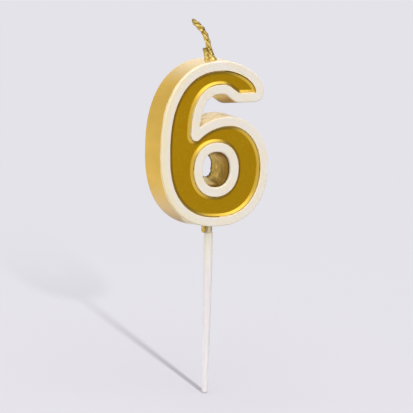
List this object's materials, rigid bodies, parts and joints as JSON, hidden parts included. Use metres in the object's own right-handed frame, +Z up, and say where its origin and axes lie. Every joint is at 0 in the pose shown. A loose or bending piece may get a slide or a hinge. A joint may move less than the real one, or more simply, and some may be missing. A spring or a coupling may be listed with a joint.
{
  "type": "number birthday candle",
  "caption": "Moulded wax numeral candle shaped as a six, with a recessed gold face, gold sides, a gilded twisted wick and a push-in pick.",
  "frame": {"origin": "on the pick's axis, at the top of its straight shaft, just under the neck; the cake's surface comes up to here", "axes": "+Z up along the pick's axis towards the wick, -Y out of the numeral's front face, +X to the reader's right"},
  "size_m": [0.0533, 0.0142, 0.162],
  "materials": {
    "wax": "smooth satin candle wax, ivory white",
    "face_gold": "deep gold metallic lacquer with a fine grain",
    "side_gold": "pale gold metallic lacquer, satin",
    "counter_gold": "brown gold metallic lacquer, satin",
    "wick_gold": "twisted cotton yarn stiffened with gold lacquer",
    "pick_plastic": "white moulded plastic, satin"
  },
  "bodies": {
    "root": {"wax_body": "wax", "face_lacquer": "face_gold", "side_lacquer": "side_gold", "counter_lacquer": "counter_gold", "wick_ply_a": "wick_gold", "wick_ply_b": "wick_gold", "wick_ply_c": "wick_gold", "wick_short_ply": "wick_gold", "pick": "pick_plastic"}
  },
  "joints": []
}
